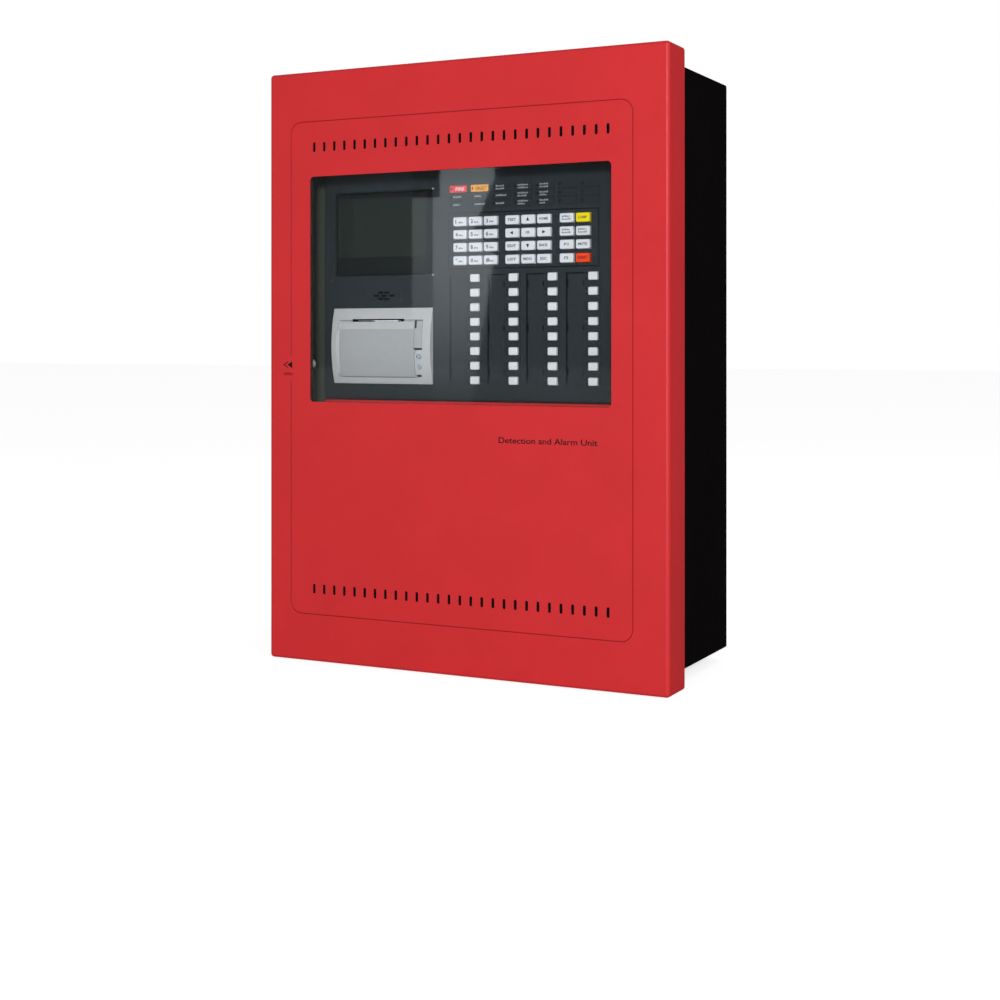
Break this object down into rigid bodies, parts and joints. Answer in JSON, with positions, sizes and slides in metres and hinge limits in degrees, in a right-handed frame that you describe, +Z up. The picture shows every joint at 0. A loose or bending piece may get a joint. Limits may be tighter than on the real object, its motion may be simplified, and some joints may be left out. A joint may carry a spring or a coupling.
{
  "type": "fire alarm control panel",
  "caption": "Wall-mounted fire alarm control panel: glazed hinged door over a keypad, display, indicators and panel printer, with power supply and standby batteries behind.",
  "frame": {"origin": "centre of the back plate's rear face, where the panel meets the wall", "axes": "+Z up, +Y into the wall, the door faces -Y, hinges on the +X side"},
  "size_m": [0.5121, 0.235, 0.7],
  "materials": {
    "red_paint": "fine satin powder coat",
    "black_paint": "textured black powder coat",
    "olive_paint": "matte",
    "zinc_plate": "zinc plated",
    "bright_steel": "nickel plated",
    "clear_pane": "clear, polished",
    "black_plastic": "matte",
    "battery_case": "moulded ABS",
    "charcoal_facia": "fine matte texture",
    "light_grey": "fine matte texture",
    "key_rubber": "silicone, satin",
    "key_white": "satin",
    "key_yellow": "satin",
    "key_red": "satin",
    "board_green": "solder mask",
    "platen_rubber": "ground rubber",
    "thermal_paper": "smooth thermal paper"
  },
  "bodies": {
    "cabinet": {"back_box": "black_paint", "upper_hinge_box_leaf": "zinc_plate", "lower_hinge_box_leaf": "zinc_plate", "mounting_plate": "olive_paint", "lower_cover": "red_paint", "control_facia": "charcoal_facia", "lcd_module": "black_plastic", "zone_key_mat": "key_rubber", "main_board": "board_green", "printer_bezel": "light_grey", "printer_mechanism": "black_plastic", "power_supply": "zinc_plate", "battery_1": "battery_case", "battery_2": "battery_case"},
    "door": {"door": "red_paint", "window_pane": "clear_pane", "window_retainer": "black_plastic", "upper_hinge_door_leaf": "zinc_plate", "lower_hinge_door_leaf": "zinc_plate", "lock_housing": "bright_steel"},
    "lock": {"lock_barrel": "bright_steel", "lock_cam": "zinc_plate"},
    "printer_door": {"printer_door": "light_grey"},
    "platen": {"platen_roller": "platen_rubber"},
    "paper_roll": {"paper_roll": "thermal_paper"},
    "printer_lever": {"printer_lever": "light_grey"},
    "printer_feed_button": {"printer_feed_button": "key_rubber"},
    "printer_select_button": {"printer_select_button": "key_rubber"},
    "numeric_key_11": {"numeric_key_11": "key_white"},
    "numeric_key_21": {"numeric_key_21": "key_white"},
    "numeric_key_31": {"numeric_key_31": "key_white"},
    "numeric_key_41": {"numeric_key_41": "key_white"},
    "numeric_key_12": {"numeric_key_12": "key_white"},
    "numeric_key_22": {"numeric_key_22": "key_white"},
    "numeric_key_32": {"numeric_key_32": "key_white"},
    "numeric_key_42": {"numeric_key_42": "key_white"},
    "numeric_key_13": {"numeric_key_13": "key_white"},
    "numeric_key_23": {"numeric_key_23": "key_white"},
    "numeric_key_33": {"numeric_key_33": "key_white"},
    "numeric_key_43": {"numeric_key_43": "key_white"},
    "navigation_key_11": {"navigation_key_11": "key_white"},
    "navigation_key_21": {"navigation_key_21": "key_white"},
    "navigation_key_31": {"navigation_key_31": "key_white"},
    "navigation_key_41": {"navigation_key_41": "key_white"},
    "navigation_key_12": {"navigation_key_12": "key_white"},
    "navigation_key_22": {"navigation_key_22": "key_white"},
    "navigation_key_32": {"navigation_key_32": "key_white"},
    "navigation_key_42": {"navigation_key_42": "key_white"},
    "navigation_key_13": {"navigation_key_13": "key_white"},
    "navigation_key_23": {"navigation_key_23": "key_white"},
    "navigation_key_33": {"navigation_key_33": "key_white"},
    "navigation_key_43": {"navigation_key_43": "key_white"},
    "function_key_11": {"function_key_11": "key_white"},
    "function_key_21": {"function_key_21": "key_white"},
    "function_key_31": {"function_key_31": "key_white"},
    "function_key_41": {"function_key_41": "key_white"},
    "function_key_12": {"function_key_12": "key_yellow"},
    "function_key_22": {"function_key_22": "key_white"},
    "function_key_32": {"function_key_32": "key_white"},
    "function_key_42": {"function_key_42": "key_red"}
  },
  "joints": [
    {"name": "door_hinge", "type": "hinge", "parent": "cabinet", "child": "door", "pos_m": [0.25, -0.192, 0], "axis": [0, 0, 1], "range_deg": [0, 110]},
    {"name": "lock_turn", "type": "hinge", "parent": "door", "child": "lock", "pos_m": [-0.255, -0.205, 0.003], "axis": [1, 0, 0], "range_deg": [0, 90]},
    {"name": "printer_door_hinge", "type": "hinge", "parent": "cabinet", "child": "printer_door", "pos_m": [-0.1315, -0.18679, -0.011], "axis": [1, 0, 0], "range_deg": [0, 28]},
    {"name": "platen_spin", "type": "hinge", "parent": "printer_door", "child": "platen", "pos_m": [-0.1302, -0.181, 0.047], "axis": [1, 0, 0], "continuous": true},
    {"name": "paper_roll_spin", "type": "hinge", "parent": "cabinet", "child": "paper_roll", "pos_m": [-0.1302, -0.156, 0.0076], "axis": [1, 0, 0], "continuous": true},
    {"name": "printer_lever_pivot", "type": "hinge", "parent": "cabinet", "child": "printer_lever", "pos_m": [-0.0742, -0.18833, 0.0523], "axis": [-1, 0, 0], "range_deg": [0, 35], "stiffness_Nm_per_rad": 0.05, "springref_deg": -11.46},
    {"name": "printer_feed_press", "type": "slide", "parent": "cabinet", "child": "printer_feed_button", "axis": [0, 1, 0], "range_m": [0, 0.0008], "stiffness_N_per_m": 400, "springref_m": -0.0004},
    {"name": "printer_select_press", "type": "slide", "parent": "cabinet", "child": "printer_select_button", "axis": [0, 1, 0], "range_m": [0, 0.0008], "stiffness_N_per_m": 400, "springref_m": -0.0004},
    {"name": "numeric_key_11_press", "type": "slide", "parent": "cabinet", "child": "numeric_key_11", "axis": [0, 1, 0], "range_m": [0, 0.0015], "stiffness_N_per_m": 400, "springref_m": -0.0005},
    {"name": "numeric_key_21_press", "type": "slide", "parent": "cabinet", "child": "numeric_key_21", "axis": [0, 1, 0], "range_m": [0, 0.0015], "stiffness_N_per_m": 400, "springref_m": -0.0005},
    {"name": "numeric_key_31_press", "type": "slide", "parent": "cabinet", "child": "numeric_key_31", "axis": [0, 1, 0], "range_m": [0, 0.0015], "stiffness_N_per_m": 400, "springref_m": -0.0005},
    {"name": "numeric_key_41_press", "type": "slide", "parent": "cabinet", "child": "numeric_key_41", "axis": [0, 1, 0], "range_m": [0, 0.0015], "stiffness_N_per_m": 400, "springref_m": -0.0005},
    {"name": "numeric_key_12_press", "type": "slide", "parent": "cabinet", "child": "numeric_key_12", "axis": [0, 1, 0], "range_m": [0, 0.0015], "stiffness_N_per_m": 400, "springref_m": -0.0005},
    {"name": "numeric_key_22_press", "type": "slide", "parent": "cabinet", "child": "numeric_key_22", "axis": [0, 1, 0], "range_m": [0, 0.0015], "stiffness_N_per_m": 400, "springref_m": -0.0005},
    {"name": "numeric_key_32_press", "type": "slide", "parent": "cabinet", "child": "numeric_key_32", "axis": [0, 1, 0], "range_m": [0, 0.0015], "stiffness_N_per_m": 400, "springref_m": -0.0005},
    {"name": "numeric_key_42_press", "type": "slide", "parent": "cabinet", "child": "numeric_key_42", "axis": [0, 1, 0], "range_m": [0, 0.0015], "stiffness_N_per_m": 400, "springref_m": -0.0005},
    {"name": "numeric_key_13_press", "type": "slide", "parent": "cabinet", "child": "numeric_key_13", "axis": [0, 1, 0], "range_m": [0, 0.0015], "stiffness_N_per_m": 400, "springref_m": -0.0005},
    {"name": "numeric_key_23_press", "type": "slide", "parent": "cabinet", "child": "numeric_key_23", "axis": [0, 1, 0], "range_m": [0, 0.0015], "stiffness_N_per_m": 400, "springref_m": -0.0005},
    {"name": "numeric_key_33_press", "type": "slide", "parent": "cabinet", "child": "numeric_key_33", "axis": [0, 1, 0], "range_m": [0, 0.0015], "stiffness_N_per_m": 400, "springref_m": -0.0005},
    {"name": "numeric_key_43_press", "type": "slide", "parent": "cabinet", "child": "numeric_key_43", "axis": [0, 1, 0], "range_m": [0, 0.0015], "stiffness_N_per_m": 400, "springref_m": -0.0005},
    {"name": "navigation_key_11_press", "type": "slide", "parent": "cabinet", "child": "navigation_key_11", "axis": [0, 1, 0], "range_m": [0, 0.0015], "stiffness_N_per_m": 400, "springref_m": -0.0005},
    {"name": "navigation_key_21_press", "type": "slide", "parent": "cabinet", "child": "navigation_key_21", "axis": [0, 1, 0], "range_m": [0, 0.0015], "stiffness_N_per_m": 400, "springref_m": -0.0005},
    {"name": "navigation_key_31_press", "type": "slide", "parent": "cabinet", "child": "navigation_key_31", "axis": [0, 1, 0], "range_m": [0, 0.0015], "stiffness_N_per_m": 400, "springref_m": -0.0005},
    {"name": "navigation_key_41_press", "type": "slide", "parent": "cabinet", "child": "navigation_key_41", "axis": [0, 1, 0], "range_m": [0, 0.0015], "stiffness_N_per_m": 400, "springref_m": -0.0005},
    {"name": "navigation_key_12_press", "type": "slide", "parent": "cabinet", "child": "navigation_key_12", "axis": [0, 1, 0], "range_m": [0, 0.0015], "stiffness_N_per_m": 400, "springref_m": -0.0005},
    {"name": "navigation_key_22_press", "type": "slide", "parent": "cabinet", "child": "navigation_key_22", "axis": [0, 1, 0], "range_m": [0, 0.0015], "stiffness_N_per_m": 400, "springref_m": -0.0005},
    {"name": "navigation_key_32_press", "type": "slide", "parent": "cabinet", "child": "navigation_key_32", "axis": [0, 1, 0], "range_m": [0, 0.0015], "stiffness_N_per_m": 400, "springref_m": -0.0005},
    {"name": "navigation_key_42_press", "type": "slide", "parent": "cabinet", "child": "navigation_key_42", "axis": [0, 1, 0], "range_m": [0, 0.0015], "stiffness_N_per_m": 400, "springref_m": -0.0005},
    {"name": "navigation_key_13_press", "type": "slide", "parent": "cabinet", "child": "navigation_key_13", "axis": [0, 1, 0], "range_m": [0, 0.0015], "stiffness_N_per_m": 400, "springref_m": -0.0005},
    {"name": "navigation_key_23_press", "type": "slide", "parent": "cabinet", "child": "navigation_key_23", "axis": [0, 1, 0], "range_m": [0, 0.0015], "stiffness_N_per_m": 400, "springref_m": -0.0005},
    {"name": "navigation_key_33_press", "type": "slide", "parent": "cabinet", "child": "navigation_key_33", "axis": [0, 1, 0], "range_m": [0, 0.0015], "stiffness_N_per_m": 400, "springref_m": -0.0005},
    {"name": "navigation_key_43_press", "type": "slide", "parent": "cabinet", "child": "navigation_key_43", "axis": [0, 1, 0], "range_m": [0, 0.0015], "stiffness_N_per_m": 400, "springref_m": -0.0005},
    {"name": "function_key_11_press", "type": "slide", "parent": "cabinet", "child": "function_key_11", "axis": [0, 1, 0], "range_m": [0, 0.0015], "stiffness_N_per_m": 400, "springref_m": -0.0005},
    {"name": "function_key_21_press", "type": "slide", "parent": "cabinet", "child": "function_key_21", "axis": [0, 1, 0], "range_m": [0, 0.0015], "stiffness_N_per_m": 400, "springref_m": -0.0005},
    {"name": "function_key_31_press", "type": "slide", "parent": "cabinet", "child": "function_key_31", "axis": [0, 1, 0], "range_m": [0, 0.0015], "stiffness_N_per_m": 400, "springref_m": -0.0005},
    {"name": "function_key_41_press", "type": "slide", "parent": "cabinet", "child": "function_key_41", "axis": [0, 1, 0], "range_m": [0, 0.0015], "stiffness_N_per_m": 400, "springref_m": -0.0005},
    {"name": "function_key_12_press", "type": "slide", "parent": "cabinet", "child": "function_key_12", "axis": [0, 1, 0], "range_m": [0, 0.0015], "stiffness_N_per_m": 400, "springref_m": -0.0005},
    {"name": "function_key_22_press", "type": "slide", "parent": "cabinet", "child": "function_key_22", "axis": [0, 1, 0], "range_m": [0, 0.0015], "stiffness_N_per_m": 400, "springref_m": -0.0005},
    {"name": "function_key_32_press", "type": "slide", "parent": "cabinet", "child": "function_key_32", "axis": [0, 1, 0], "range_m": [0, 0.0015], "stiffness_N_per_m": 400, "springref_m": -0.0005},
    {"name": "function_key_42_press", "type": "slide", "parent": "cabinet", "child": "function_key_42", "axis": [0, 1, 0], "range_m": [0, 0.0015], "stiffness_N_per_m": 400, "springref_m": -0.0005}
  ],
  "couplings": [
    {"joint": "platen_spin", "follows": "paper_roll_spin", "ratio": 4}
  ]
}
